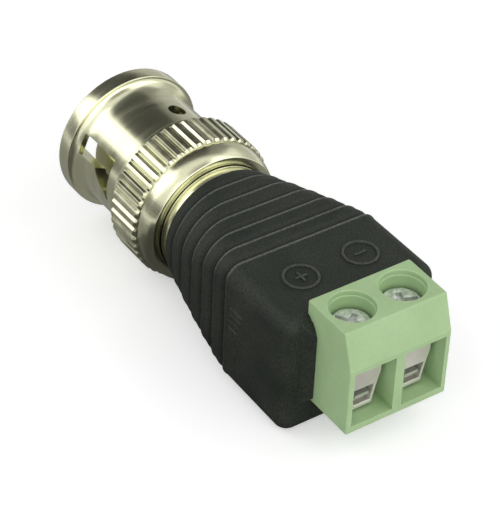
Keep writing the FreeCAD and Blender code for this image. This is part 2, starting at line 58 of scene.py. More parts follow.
def rounded(corners, steps=5):
    """Closed outline from corners (a, b, radius), each turned into an arc of its radius."""
    outline = []
    count = len(corners)
    for index, (a, b, radius) in enumerate(corners):
        here = Vector((a, b))
        if radius == 0:
            outline.append(here)
            continue
        back = (Vector(corners[index - 1][:2]) - here).normalized()
        ahead = (Vector(corners[(index + 1) % count][:2]) - here).normalized()
        half = back.angle(ahead) / 2
        reach = radius / math.tan(half)
        centre = here + (back + ahead).normalized() * (radius / math.sin(half))
        start = here + back * reach - centre
        sweep = start.angle_signed(here + ahead * reach - centre)
        for step in range(steps + 1):
            turn = -sweep * step / steps
            outline.append(centre + Matrix.Rotation(turn, 2) @ start)
    return outline


def lathe(outline, turns, relief=None):
    """Mesh turned about X from a closed outline of (place, radius).

    turns is a number of even steps, or the angles themselves. relief changes the radius.
    """
    if isinstance(turns, int):
        turns = [2 * math.pi * step / turns for step in range(turns)]
    mesh = bmesh.new()
    rings = []
    for step, angle in enumerate(turns):
        ring = []
        for place, radius in outline:
            if relief:
                radius = relief(place, radius, step)
            point = (place, radius * math.cos(angle), radius * math.sin(angle))
            ring.append(mesh.verts.new(point))
        rings.append(ring)
    count = len(outline)
    for ring, following in zip(rings, rings[1:] + rings[:1]):
        for index in range(count):
            other = (index + 1) % count
            mesh.faces.new((ring[index], ring[other], following[other], following[index]))
    bmesh.ops.remove_doubles(mesh, verts=mesh.verts, dist=1e-5)
    bare = [edge for edge in mesh.edges if not edge.link_faces]
    bmesh.ops.delete(mesh, geom=bare, context="EDGES")
    bmesh.ops.recalc_face_normals(mesh, faces=mesh.faces)
    return mesh


def loft(rows):
    """Closed mesh through rows of as many points each, with a face at both ends."""
    mesh = bmesh.new()
    loops = [[mesh.verts.new(point) for point in row] for row in rows]
    count = len(loops[0])
    for here, there in zip(loops, loops[1:]):
        for index in range(count):
            other = (index + 1) % count
            mesh.faces.new((here[index], here[other], there[other], there[index]))
    mesh.faces.new(loops[0])
    mesh.faces.new(loops[-1])
    bmesh.ops.remove_doubles(mesh, verts=mesh.verts, dist=1e-5)
    bmesh.ops.recalc_face_normals(mesh, faces=mesh.faces)
    return mesh


def prism(outline, low, high, along):
    """Mesh of a closed outline drawn out from low to high along 'x', 'y' or 'z'."""
    order = {"x": (2, 0, 1), "y": (0, 2, 1), "z": (0, 1, 2)}[along]
    mesh = bmesh.new()
    ends = []
    for level in (low, high):
        ends.append([mesh.verts.new([(a, b, level)[k] for k in order]) for a, b in outline])
    count = len(outline)
    mesh.faces.new(ends[0])
    mesh.faces.new(ends[1])
    for index in range(count):
        other = (index + 1) % count
        mesh.faces.new((ends[0][index], ends[0][other], ends[1][other], ends[1][index]))
    bmesh.ops.recalc_face_normals(mesh, faces=mesh.faces)
    return mesh


def brick(low, high, round_over=0.0):
    """Mesh of a box between two corners, its edges rounded over."""
    outline = [(low[0], low[1]), (high[0], low[1]), (high[0], high[1]), (low[0], high[1])]
    mesh = prism(outline, low[2], high[2], "z")
    if round_over:
        bmesh.ops.bevel(mesh, geom=mesh.edges[:], offset=round_over, segments=3, profile=0.5,
                        affect="EDGES", clamp_overlap=True)
    return mesh


def drum(centre, axis, radius, length, segments=64):
    """Mesh of a cylinder that starts at centre and runs along axis."""
    mesh = bmesh.new()
    place = Matrix.Translation(Vector(centre) + Vector(axis).normalized() * length / 2)
    turn = Vector((0, 0, 1)).rotation_difference(Vector(axis)).to_matrix().to_4x4()
    bmesh.ops.create_cone(mesh, cap_ends=True, segments=segments, radius1=radius, radius2=radius,
                          depth=length, matrix=place @ turn)
    return mesh


def as_object(mesh, name):
    data = bpy.data.meshes.new(name)
    mesh.to_mesh(data)
    mesh.free()
    made = bpy.data.objects.new(name, data)
    bpy.context.scene.collection.objects.link(made)
    return made


def evaluated(made):
    """Puts the result of the object's modifiers into its mesh."""
    graph = bpy.context.evaluated_depsgraph_get()
    graph.update()
    data = bpy.data.meshes.new_from_object(made.evaluated_get(graph))
    made.modifiers.clear()
    made.data = data


def carve(made, cutters, operation="DIFFERENCE"):
    """Cuts the meshes in cutters out of the object one after another."""
    for cutter in cutters:
        tool = as_object(cutter, "cutter")
        cut = made.modifiers.new("cut", "BOOLEAN")
        cut.operation = operation
        cut.solver = "EXACT"
        cut.object = tool
        evaluated(made)
        bpy.data.objects.remove(tool)


def soften(made, width, angle=30, segments=3):
    """Rounds over the object's hard edges."""
    bevel = made.modifiers.new("soften", "BEVEL")
    bevel.width = width
    bevel.segments = segments
    bevel.limit_method = "ANGLE"
    bevel.angle_limit = math.radians(angle)
    bevel.use_clamp_overlap = True
    evaluated(made)


def settle(made, body, material, replaced, sharp=32):
    """Turns millimetres to metres, shades the piece and hands it to the frame."""
    made.data.transform(Matrix.Scale(MM, 4))
    made.data.shade_smooth()
    made.data.set_sharp_from_angle(angle=math.radians(sharp))
    weighted = made.modifiers.new("shading", "WEIGHTED_NORMAL")
    weighted.keep_sharp = True
    weighted.weight = 60
    made.data.materials.clear()
    made.data.materials.append(material)
    if replaced:
        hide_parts(*replaced)
    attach(made, body)
    return made


def dress(nodes, material):
    """Gives CAD pieces their material."""
    for node in nodes:
        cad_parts[node].data.materials.clear()
        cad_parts[node].data.materials.append(material)


def new_group(name, sockets_in, sockets_out):
    """Empty shader group with float, colour or vector sockets."""
    group = bpy.data.node_groups.new(name, "ShaderNodeTree")
    for label, kind, value in sockets_in:
        socket = group.interface.new_socket(label, in_out="INPUT", socket_type="NodeSocket" + kind)
        if value is not None:
            socket.default_value = value
    for label, kind in sockets_out:
        group.interface.new_socket(label, in_out="OUTPUT", socket_type="NodeSocket" + kind)
    return group, group.nodes.new("NodeGroupInput"), group.nodes.new("NodeGroupOutput")


def wear_and_painted_shade_group():
    """Mask of the edges that hands and tools scuff, broken up by noise, and a painted shade that
    darkens hollows where less light falls. Sizes are in metres.
    """
    group, given, result = new_group(
        "edge wear and painted shade",
        [("Reach", "Float", 0.0001), ("Patch Scale", "Float", 900.0), ("Amount", "Float", 0.5)],
        [("Mask", "Float"), ("Painted Shade", "Float")],
    )
    link = group.links.new
    bevel = group.nodes.new("ShaderNodeBevel")
    bevel.samples = 6
    link(given.outputs["Reach"], bevel.inputs["Radius"])
    geometry = group.nodes.new("ShaderNodeNewGeometry")
    dot = group.nodes.new("ShaderNodeVectorMath")
    dot.operation = "DOT_PRODUCT"
    link(bevel.outputs["Normal"], dot.inputs[0])
    link(geometry.outputs["Normal"], dot.inputs[1])
    edge = group.nodes.new("ShaderNodeMapRange")
    edge.inputs["From Min"].default_value = 0.995
    edge.inputs["From Max"].default_value = 0.90
    link(dot.outputs["Value"], edge.inputs["Value"])
    place = group.nodes.new("ShaderNodeTexCoord")
    noise = group.nodes.new("ShaderNodeTexNoise")
    noise.inputs["Detail"].default_value = 4.0
    link(place.outputs["Object"], noise.inputs["Vector"])
    link(given.outputs["Patch Scale"], noise.inputs["Scale"])
    patch = group.nodes.new("ShaderNodeMapRange")
    patch.inputs["From Min"].default_value = 0.35
    patch.inputs["From Max"].default_value = 0.65
    link(noise.outputs["Fac"], patch.inputs["Value"])
    joined = group.nodes.new("ShaderNodeMath")
    joined.operation = "MULTIPLY"
    link(edge.outputs["Result"], joined.inputs[0])
    link(patch.outputs["Result"], joined.inputs[1])
    scaled = group.nodes.new("ShaderNodeMath")
    scaled.operation = "MULTIPLY"
    link(joined.outputs["Value"], scaled.inputs[0])
    link(given.outputs["Amount"], scaled.inputs[1])
    link(scaled.outputs["Value"], result.inputs["Mask"])
    # Painted shade: ambient occlusion picks out hollows, creases and corners to be darkened
    shade_occlusion = group.nodes.new("ShaderNodeAmbientOcclusion")
    shade_occlusion.samples = 6
    shade_occlusion.inputs["Distance"].default_value = 0.0006
    painted_shade_share = group.nodes.new("ShaderNodeMapRange")
    painted_shade_share.inputs["From Min"].default_value = 0.85
    painted_shade_share.inputs["From Max"].default_value = 0.35
    link(shade_occlusion.outputs["AO"], painted_shade_share.inputs["Value"])
    link(painted_shade_share.outputs["Result"], result.inputs["Painted Shade"])
    return group


def grain_group():
    """Height and tint of a fine moulded or blasted grain, with a slower cloudiness."""
    group, given, result = new_group(
        "grain",
        [("Fine Scale", "Float", 9000.0), ("Cloud Scale", "Float", 400.0),
         ("Stretch", "Vector", (1, 1, 1))],
        [("Height", "Float"), ("Cloud", "Float")],
    )
    link = group.links.new
    place = group.nodes.new("ShaderNodeTexCoord")
    stretch = group.nodes.new("ShaderNodeVectorMath")
    stretch.operation = "MULTIPLY"
    link(place.outputs["Object"], stretch.inputs[0])
    link(given.outputs["Stretch"], stretch.inputs[1])
    fine = group.nodes.new("ShaderNodeTexNoise")
    fine.inputs["Detail"].default_value = 5.0
    fine.inputs["Roughness"].default_value = 0.6
    link(stretch.outputs["Vector"], fine.inputs["Vector"])
    link(given.outputs["Fine Scale"], fine.inputs["Scale"])
    link(fine.outputs["Fac"], result.inputs["Height"])
    cloud = group.nodes.new("ShaderNodeTexNoise")
    cloud.inputs["Detail"].default_value = 3.0
    link(stretch.outputs["Vector"], cloud.inputs["Vector"])
    link(given.outputs["Cloud Scale"], cloud.inputs["Scale"])
    link(cloud.outputs["Fac"], result.inputs["Cloud"])
    return group


wear_and_painted_shade = wear_and_painted_shade_group()
grain = grain_group()


def finish(name, dark, light, roughness, metallic=0.0, wear_and_highlight_colour=None, wear_and_highlight_amount=0.4, reach=0.00012,
           fine=9000.0, cloud=400.0, stretch=(1, 1, 1), bump=0.05, depth=0.00001, painted_shade_tint=0.5,
           specular=0.5, speckle=0.0, through=0.0, painted_highlight=None):
    """Material of one finish. Its colour drifts from dark to light, hollows get a painted shade and
    edges turn lighter with use.

    The last argument names an attribute of the mesh that paints more places in the lighter edge
    colour, as a painted highlight.
    """
    material = bpy.data.materials.new(name)
    material.use_nodes = True
    tree = material.node_tree
    tree.nodes.clear()
    link = tree.links.new
    output = tree.nodes.new("ShaderNodeOutputMaterial")
    surface = tree.nodes.new("ShaderNodeBsdfPrincipled")
    link(surface.outputs["BSDF"], output.inputs["Surface"])
    surface.inputs["Metallic"].default_value = metallic
    surface.inputs["Specular IOR Level"].default_value = specular
    if through:
        surface.inputs["Subsurface Weight"].default_value = through
        surface.inputs["Subsurface Scale"].default_value = 0.0004
    texture = tree.nodes.new("ShaderNodeGroup")
    texture.node_tree = grain
    texture.inputs["Fine Scale"].default_value = fine
    texture.inputs["Cloud Scale"].default_value = cloud
    texture.inputs["Stretch"].default_value = stretch
    wear_highlight_and_shade = tree.nodes.new("ShaderNodeGroup")
    wear_highlight_and_shade.node_tree = wear_and_painted_shade
    wear_highlight_and_shade.inputs["Reach"].default_value = reach
    wear_highlight_and_shade.inputs["Amount"].default_value = wear_and_highlight_amount
    tint = tree.nodes.new("ShaderNodeMix")
    tint.data_type = "RGBA"
    tint.inputs[6].default_value = (*dark, 1)
    tint.inputs[7].default_value = (*light, 1)
    spread = tree.nodes.new("ShaderNodeMapRange")
    spread.inputs["From Min"].default_value = 0.3
    spread.inputs["From Max"].default_value = 0.7
    link(texture.outputs["Cloud"], spread.inputs["Value"])
    link(spread.outputs["Result"], tint.inputs[0])
    # Painted shade: where the occlusion finds a hollow, the colour darkens toward a shaded copy of
    # the dark colour
    painted_shade_mix = tree.nodes.new("ShaderNodeMix")
    painted_shade_mix.data_type = "RGBA"
    painted_shade_mix.inputs[7].default_value = (*[channel * (1 - painted_shade_tint) for channel in dark], 1)
    link(wear_highlight_and_shade.outputs["Painted Shade"], painted_shade_mix.inputs[0])
    link(tint.outputs[2], painted_shade_mix.inputs[6])
    lightened = tree.nodes.new("ShaderNodeMix")
    lightened.data_type = "RGBA"
    lightened.inputs[7].default_value = (*(wear_and_highlight_colour or light), 1)
    link(wear_highlight_and_shade.outputs["Mask"], lightened.inputs[0])
    # Painted highlight: places picked by the attribute are lightened toward the edge colour as if
    # they caught the light
    if painted_highlight:
        painted_highlight_attribute = tree.nodes.new("ShaderNodeAttribute")
        painted_highlight_attribute.attribute_name = painted_highlight
        most = tree.nodes.new("ShaderNodeMath")
        most.operation = "MAXIMUM"
        link(wear_highlight_and_shade.outputs["Mask"], most.inputs[0])
        link(painted_highlight_attribute.outputs["Fac"], most.inputs[1])
        link(most.outputs["Value"], lightened.inputs[0])
    link(painted_shade_mix.outputs[2], lightened.inputs[6])
    grit = tree.nodes.new("ShaderNodeMapRange")
    grit.inputs["From Min"].default_value = 0.35
    grit.inputs["From Max"].default_value = 0.65
    grit.inputs["To Min"].default_value = 1 - speckle
    grit.inputs["To Max"].default_value = 1 + speckle
    link(texture.outputs["Height"], grit.inputs["Value"])
    shade = tree.nodes.new("ShaderNodeHueSaturation")
    link(grit.outputs["Result"], shade.inputs["Value"])
    link(lightened.outputs[2], shade.inputs["Color"])
    link(shade.outputs["Color"], surface.inputs["Base Color"])
    rough = tree.nodes.new("ShaderNodeMapRange")
    rough.inputs["From Min"].default_value = 0.25
    rough.inputs["From Max"].default_value = 0.75
    rough.inputs["To Min"].default_value = roughness[0]
    rough.inputs["To Max"].default_value = roughness[1]
    link(texture.outputs["Cloud"], rough.inputs["Value"])
    link(rough.outputs["Result"], surface.inputs["Roughness"])
    relief = tree.nodes.new("ShaderNodeBump")
    relief.inputs["Strength"].default_value = bump
    relief.inputs["Distance"].default_value = depth
    link(texture.outputs["Height"], relief.inputs["Height"])
    link(relief.outputs["Normal"], surface.inputs["Normal"])
    return material


nickel = finish("bright nickel plate", (0.64, 0.64, 0.44), (0.78, 0.78, 0.55), (0.17, 0.28),
                metallic=1.0, wear_and_highlight_colour=(0.90, 0.90, 0.74), wear_and_highlight_amount=0.6, fine=2600.0, cloud=260.0,
                stretch=(3, 0.4, 0.4), bump=0.25, depth=0.00001, painted_shade_tint=0.45)

nut_mouth_r = 5.55
nut_chamber_r = 4.95
nut_barrel_r = 6.05
nut_flange_r = 6.95
knurl_root_r = 6.91
knurl_crest_r = 7.25
knurl_front = 9.5
knurl_rear = 13.55
knurl_ribs = 46
nut_rear = 15.5


def flange_neck(steps=8):
    """Hollow curve from the flange's rear edge down to the barrel."""
    start = Vector((1.65, 6.72))
    bend = Vector((1.95, nut_barrel_r + 0.02))
    end = Vector((3.4, nut_barrel_r))
    points = []
    for step in range(1, steps + 1):
        share = step / steps
        there = start * (1 - share) ** 2 + bend * 2 * share * (1 - share) + end * share ** 2
        points.append((there.x, there.y, 0))
    return points


front_outline = rounded([
    (0, nut_mouth_r, 0.06),
    (0, nut_flange_r, 0.16),
    (1.65, nut_flange_r, 0.1),
    (1.65, 6.72, 0),
    *flange_neck(),
    (9.2, nut_barrel_r, 0),
    (9.2, nut_chamber_r, 0),
    (1.3, nut_chamber_r, 0.2),
])
nut_front = as_object(lathe(front_outline, 192), "nut_front")

stud_slot = 2.05
inside_r = 4.4
groove_r = 5.65
through_r = 7.2
window_rear = 7.0
entry_angle = math.radians(158)
hole_past = 94
hole_x = 6.3
hole_r = 0.85


def eased(share):
    share = min(1, max(0, share))
    return share * share * (3 - 2 * share)


def cam_edge(past):
    """Place along X of the cam track's front wall, at an angle in degrees past the entry."""
    return 4.8 + 2.1 * eased((past - 9) / 25) - 0.9 * eased((past - 70) / 24)


def cam_cutter():
    """Cutter for one cam: right through the wall at first, and then a groove inside it."""
    rows = []
    turns = [(31 * step / 14, through_r) for step in range(15)]
    turns += [(31.6 + 62.4 * step / 20, groove_r) for step in range(21)]
    for past, outer_r in turns:
        turn = entry_angle + math.radians(past)
        front = cam_edge(past)
        corners = ((front, inside_r), (front, outer_r), (window_rear, outer_r),
                   (window_rear, groove_r), (front + stud_slot, groove_r),
                   (front + stud_slot, inside_r))
        rows.append([(x, r * math.cos(turn), r * math.sin(turn)) for x, r in corners])
    return loft(rows)


half_slot = stud_slot / 2
for side in (0, math.pi):
    entry = brick((-1, inside_r, -half_slot), (6.7, groove_r, half_slot))
    window = brick((2.2, inside_r, -half_slot), (7.05, through_r, half_slot))
    for cutter in (entry, window):
        cutter.transform(Matrix.Rotation(entry_angle, 4, "X"))
    hole_turn = entry_angle + math.radians(hole_past)
    hole_axis = (0, math.cos(hole_turn), math.sin(hole_turn))
    hole_start = (hole_x, inside_r * hole_axis[1], inside_r * hole_axis[2])
    hole = drum(hole_start, hole_axis, hole_r, 3, 40)
    cutters = [entry, window, cam_cutter(), hole]
    for cutter in cutters:
        cutter.transform(Matrix.Rotation(side, 4, "X"))
    carve(nut_front, cutters)

# One rib of the knurl, as shares of its pitch and of its height
knurl_rib = [(-0.25, 0.93), (-0.2, 1), (0.2, 1), (0.25, 0.93),
             (0.44, 0.38), (0.47, 0.34), (0.53, 0.34), (0.56, 0.38)]
knurl_turns = [2 * math.pi * (rib + share) / knurl_ribs
               for rib in range(knurl_ribs) for share, height in knurl_rib]


def knurled(place, radius, step):
    """Radius over the knurl: flat crests with steep flanks."""
    if radius <= knurl_root_r or not knurl_front < place < knurl_rear:
        return radius
    height = knurl_rib[step % len(knurl_rib)][1]
    return knurl_root_r + (radius - knurl_root_r) * height


rear_outline = rounded([
    (9.05, 5.3, 0),
    (9.05, knurl_root_r, 0.14),
    (knurl_front, knurl_root_r, 0),
    (knurl_front + 0.01, knurl_root_r + 0.14, 0),
    (knurl_front + 0.2, knurl_crest_r, 0.08),
    (knurl_rear - 0.22, knurl_crest_r, 0.08),
    (knurl_rear - 0.01, knurl_root_r + 0.14, 0),
    (knurl_rear, knurl_root_r, 0),
    (14.05, 6.90, 0),
    (14.5, 6.84, 0),
    (15.0, 6.71, 0),
    (nut_rear, 6.46, 0.16),
    (nut_rear, 5.73, 0.06),
    (14.7, 5.73, 0),
    (14.7, 4.25, 0),
    (12.6, 4.25, 0),
    (12.6, nut_chamber_r, 0),
    (9.05, nut_chamber_r, 0),
])
nut_knurl = as_object(lathe(rear_outline, knurl_turns, knurled), "nut_knurl")
settle(nut_front, "nut", nickel, ["coupling_nut"])
settle(nut_knurl, "nut", nickel, [], sharp=28)

# Spring stack and plug body. A waved spring washer and a flat washer sit between the
# body's flange and the nut's web. The wave is built at rest, though in the real part it
# flattens as the nut is pushed forward. The body is turned brass and stays out of sight.

washer_steel = finish("spring steel", (0.38, 0.38, 0.37), (0.50, 0.50, 0.49), (0.28, 0.42),
                      metallic=1.0, bump=0.15)
spring_low, spring_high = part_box("wave_washer")
spring_front = spring_low[0] / MM
spring_rear = spring_high[0] / MM
spring_strip = 0.25
spring_outer_r = spring_high[1] / MM
spring_inner_r = 4.25
swing = (spring_rear - spring_front - spring_strip) / 2
spring_mid = (spring_front + spring_rear) / 2
spring_waves = 3
spring_outline = rounded([
    (spring_mid - spring_strip / 2, spring_inner_r, 0.04),
    (spring_mid - spring_strip / 2, spring_outer_r, 0.04),
    (spring_mid + spring_strip / 2, spring_outer_r, 0.04),
    (spring_mid + spring_strip / 2, spring_inner_r, 0.04),
], 2)
wave = lathe(spring_outline, 144)
for vertex in wave.verts:
    vertex.co.x += swing * math.cos(spring_waves * math.atan2(vertex.co.z, vertex.co.y))
spring = settle(as_object(wave, "wave_spring"), "adapter", washer_steel, ["wave_washer"])
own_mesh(spring)
dress(["thrust_washer"], washer_steel)
dress(["connector_body"], nickel)

# Outer contact. A thin nickel plated sleeve with four slits, so that its fingers spring
# against the inside of the jack. It shows through the nut's window and in the mouth.

contact_outline = rounded([
    (1.65, 3.62, 0.1),
    (1.65, 4.05, 0.18),
    (8.87, 4.05, 0),
    (8.87, 3.6, 0),
    (10.97, 3.6, 0),
    (10.97, 3.1, 0),
    (8.4, 3.1, 0),
    (8.4, 3.55, 0),
    (2.2, 3.55, 0),
])
contact = as_object(lathe(contact_outline, 128), "contact_sleeve")
fingers = 4
slit_half = 0.175
slit_turn = 15
for finger in range(fingers):
    slit = brick((1.4, 0, -slit_half), (7.1, 4.6, slit_half))
    slit.transform(Matrix.Rotation(math.radians(slit_turn + 90 * finger), 4, "X"))
    carve(contact, [slit])
settle(contact, "adapter", nickel, ["outer_contact"])

# Gasket, insulators and centre pin. A rubber ring, two white plastic plugs and a gold
# plated pin with a solder cup. They are pushed into the body from both ends.

rubber = finish("black rubber", (0.03, 0.03, 0.03), (0.05, 0.05, 0.05), (0.55, 0.7), bump=0.1)
white_plug = finish("white insulator", (0.80, 0.79, 0.74), (0.86, 0.85, 0.81), (0.28, 0.36),
                    bump=0.05, painted_shade_tint=0.2)
gold = finish("gold plate", (0.78, 0.52, 0.19), (0.86, 0.62, 0.27), (0.16, 0.26), metallic=1.0,
              bump=0.1, fine=3000.0)
dress(["sealing_gasket"], rubber)
dress(["front_insulator", "rear_insulator"], white_plug)
pin_outline = rounded([
    (2.3, 0, 0),
    (2.3, 0.36, 0.2),
    (2.75, 0.675, 0.25),
    (7.3, 0.675, 0),
    (7.3, 0.95, 0),
    (8.8, 0.95, 0),
    (8.8, 1.2, 0),
    (19.0, 1.2, 0.05),
    (19.0, 0.5, 0.03),
    (17.0, 0.5, 0),
    (17.0, 0, 0),
])
pin = as_object(lathe(pin_outline, 48), "pin")
settle(pin, "adapter", gold, ["centre_pin"])

# Rear collar. A plain turned collar, pressed on the body behind the nut. A fine groove
# runs round it, and the housing is moulded over its neck.

collar_outline = rounded([
    (14.73, 4.2, 0),
    (14.73, 5.65, 0.06),
    (15.68, 5.65, 0.05),
    (15.68, 5.57, 0),
    (15.84, 5.57, 0),
    (15.84, 5.65, 0.05),
    (16.4, 5.65, 0.03),
    (16.4, 4.7, 0),
    (18.6, 4.7, 0),
    (18.6, 5.3, 0),
    (19.6, 5.3, 0),
    (19.6, 3.0, 0),
    (16.97, 3.0, 0),
    (16.97, 4.2, 0),
])
collar = as_object(lathe(collar_outline, 144), "collar")
settle(collar, "adapter", nickel, ["rear_collar"])

# Ground tag and leads. A tinned ring tag lies on the collar's end. Two sleeved leads run
# from it and from the pin to the tails of the blades. All of it is shut in the housing.

tinned = finish("tin plate", (0.70, 0.70, 0.66), (0.86, 0.86, 0.82), (0.28, 0.45), metallic=0.8,
                bump=0.1)
sleeve = finish("lead sleeve", (0.03, 0.03, 0.03), (0.05, 0.05, 0.05), (0.4, 0.5), bump=0.05)
dress(["ground_tag"], tinned)
dress(["signal_lead", "ground_lead"], sleeve)

# Housing. A soft black moulding that swells from a round front to a rounded box. Six
# finger grooves run round the tapered part, and the poles are marked on the top.

# Hollows get a painted shade, and through a mesh attribute the housing's beads and pole signs get a
# painted highlight
black_soft = finish("soft black moulding", (0.016, 0.021, 0.015), (0.028, 0.033, 0.025),
                    (0.55, 0.68), wear_and_highlight_colour=(0.24, 0.25, 0.22), wear_and_highlight_amount=0.28, reach=0.00018, fine=6000.0,
                    cloud=220.0, bump=0.6, depth=0.00003, painted_shade_tint=0.6, specular=0.28,
                    speckle=0.45, painted_highlight="painted_highlight")

front_end = 16.4
taper_end = 28.3
rear_end = 37.4
front_r = 5.85
rear_half = 7.6
rear_top = 6.65
rear_low = 5.45
rear_corner = 1.5
front_round = 0.45
rear_round = 1.2
groove_count = 6
first_groove = 18.0
groove_pitch = 2.04
groove_deep = 0.42
groove_front = 0.62
groove_rear = 0.27
bead_rear = 0.57
bead_long = 0.3
bead_high = 0.06


def section(x, inset, around=160):
    """Closed loop of points across the housing at x, drawn in by inset all round."""
    share = min(1, (x - front_end) / (taper_end - front_end))
    past = max(0, (x - taper_end) / (rear_end - taper_end))
    half = front_r + (rear_half - front_r) * share * (1.4 - 0.4 * share) + 0.1 * past - inset
    high = front_r + (rear_top - front_r) * share - inset
    low = -front_r + (front_r - rear_low) * share + inset
    corner = max(front_r * 0.98 + (rear_corner - front_r * 0.98) * share - inset, 0.05)
    points = []
    centres = ((half - corner, high - corner), (corner - half, high - corner),
               (corner - half, low + corner), (half - corner, low + corner))
    for quarter, (y, z) in enumerate(centres):
        for step in range(around // 4):
            angle = math.pi / 2 * (quarter + step / (around // 4 - 1))
            points.append((x, y + corner * math.cos(angle), z + corner * math.sin(angle)))
    return points


def groove_depth(x):
    """How far the surface is drawn in at x by the finger grooves, each with a bead behind it."""
    depth = 0
    for index in range(groove_count):
        away = x - (first_groove + index * groove_pitch)
        if -groove_front < away <= 0:
            depth = groove_deep * (1 + away / groove_front) ** 1.6
        elif 0 < away < groove_rear:
            depth = groove_deep * (1 - away / groove_rear) ** 1.3
        elif groove_rear <= away < bead_rear:
            depth = -bead_high * math.sin(math.pi * (away - groove_rear) / bead_long)
    return depth


def paint_bead_highlights(made):
    """Paints the beads behind the grooves lighter where they face up, a painted highlight of the
    light they catch.
    """
    bead_highlight = made.data.attributes.new("painted_highlight", "FLOAT", "POINT")
    for vertex in made.data.vertices:
        x = vertex.co.x / MM
        height = max(0, -groove_depth(x)) / bead_high
        bead_highlight.data[vertex.index].value = 0.42 * height * min(1, max(0, vertex.normal.z + 0.1))


# Stations along X with their inset: the front's rounding, the grooves, the plain part and
# the rear's rounding
grooves_from = 16.85
grooves_to = 29.0
groove_steps = 240
plain_long = 7.2
rounding_from = 36.2
stations = []
for step in range(9):
    lean = math.pi / 2 * step / 8
    stations.append((front_end + front_round * (1 - math.cos(lean)),
                     front_round * (1 - math.sin(lean))))
for step in range(1, groove_steps):
    x = grooves_from + (grooves_to - grooves_from) * step / groove_steps
    stations.append((x, groove_depth(x)))
for step in range(7):
    stations.append((grooves_to + plain_long * step / 7, 0))
for step in range(11):
    lean = math.pi / 2 * step / 10
    stations.append((rounding_from + rear_round * math.sin(lean),
                     rear_round * (1 - math.cos(lean))))
housing = as_object(loft([section(x, inset) for x, inset in stations]), "housing_shell")

# The lips that hold the block by its sides grow out of the housing's end as thin wedges
lip_rows = ((36.2, 6.1, -2.2, 6.1), (37.4, 6.1, -2.2, 6.1), (37.82, 5.59, -1.84, 5.5),
            (38.1, 5.25, -1.6, 4.9))
block_half = 5.1
block_back = 36.56
block_foot = -2.11
plinth_low = (33.6, -4.4, -1.3)
lips = []
for side in (-1, 1):
    inner = side * block_half
    lips.append(loft([((x, inner, low), (x, side * outer, low), (x, side * outer, high),
                       (x, inner, high)) for x, outer, low, high in lip_rows]))
carve(housing, lips, "UNION")

# The seat of the block, the bores for the collar's neck, and the pockets for leads and plinth
carve(housing, [
    brick((block_back, -block_half, block_foot), (39, block_half, 9)),
    drum((16, 0, 0), (1, 0, 0), 4.7, 2.6),
    drum((18.6, 0, 0), (1, 0, 0), 5.3, 1.0),
    drum((19.6, 0, 0), (1, 0, 0), 4.6, 0.4),
    brick((20.0, -4.3, -2.2), (33.6, 4.3, 3.2)),
    brick(plinth_low, (36.7, 4.4, 5.4)),
])

# Short flow lines in the side, behind the last finger groove
for index in range(4):
    length = 2.8 - 0.3 * index
    line = lathe([(0, 0), (0.3 * length, 0.2), (0.7 * length, 0.2), (length, 0)], 32)
    line.transform(Matrix.Translation((28.8, -7.69, 3.1 - 0.72 * index)))
    carve(housing, [line])
settle(housing, "adapter", black_soft, ["housing"], sharp=40)
paint_bead_highlights(housing)

# Pole marks, moulded proud of the housing's top: a ring round a plus, and one round a minus
mark_low = -0.06
mark_high = 0.13
for pole, side in (("plus", -1), ("minus", 1)):
    centre = Vector((32.7, side * 3.03, 6.66))
    ring_outline = rounded([(mark_low, 1.38, 0), (mark_high, 1.38, 0.05),
                            (mark_high, 1.62, 0.05), (mark_low, 1.62, 0)], 3)
    mark = lathe(ring_outline, 72)
    mark.transform(Matrix.Translation(centre) @ Matrix.Rotation(-math.pi / 2, 4, "Y"))
    mark_object = as_object(mark, "mark_" + pole)
    bars = [(0.1, 0.6)]
    if pole == "plus":
        bars.append((0.6, 0.1))
    for half_x, half_y in bars:
        bar = brick((-half_x, -half_y, mark_low), (half_x, half_y, mark_high), 0.04)
        bar.transform(Matrix.Translation(centre))
        carve(mark_object, [bar], "UNION")
    # Painted highlight: the pole signs are lightened a little all over for the light their raised
    # edges catch
    lightened = mark_object.data.attributes.new("painted_highlight", "FLOAT", "POINT")
    for point in lightened.data:
        point.value = 0.17
    settle(mark_object, "adapter", black_soft, [])

# Terminal block. A green moulding with a screw well and a wire window for each pole.
# Its plinth is held in the housing and its sides are held by the housing's lips.

green = finish("green moulding", (0.385, 0.55, 0.285), (0.42, 0.595, 0.32), (0.42, 0.55),
               wear_and_highlight_colour=(0.58, 0.76, 0.48), wear_and_highlight_amount=0.5, reach=0.0002, fine=6000.0, cloud=300.0,
               bump=0.12, depth=0.00002, painted_shade_tint=0.2, speckle=0.04, through=0.2)
pole_pitch = 5.08
screw_x = 39.05
profile = rounded([
    (block_back, block_foot, 0.15),
    (42.73, block_foot, 0.15),
    (42.73, 4.57, 0.2),
    (41.61, 7.88, 0.2),
    (block_back, 7.88, 0.15),
], 4)
block = as_object(prism(profile, -block_half, block_half, "y"), "block")
soften(block, 0.14, 60)
plinth = brick(plinth_low, (36.8, 4.4, 5.4))
carve(block, [plinth], "UNION")
for side in (-1, 1):
    y = side * pole_pitch / 2
    carve(block, [
        brick((37.0, y - 2.09, -1.41), (41.73, y + 2.09, 4.5)),
        brick((37.0, y - 2.09, -1.41), (43.4, y + 2.09, 4.15)),
        brick((31.5, y - 0.7, -0.2), (37.4, y + 0.7, 0.1)),
        drum((screw_x, y, 4.3), (0, 0, 1), 1.55, 1.0),
    ])
    well = lathe(rounded([(5.0, 0, 0), (5.0, 1.9, 0.05), (7.32, 1.9, 0.08), (7.4, 1.98, 0.04),
                          (7.8, 1.98, 0.05), (7.93, 2.1, 0), (8.4, 2.1, 0), (8.4, 0, 0)], 4), 72)
    well.transform(Matrix.Translation((screw_x, y, 0)) @ Matrix.Rotation(-math.pi / 2, 4, "Y"))
    carve(block, [well])
settle(block, "adapter", green, ["terminal_block"])
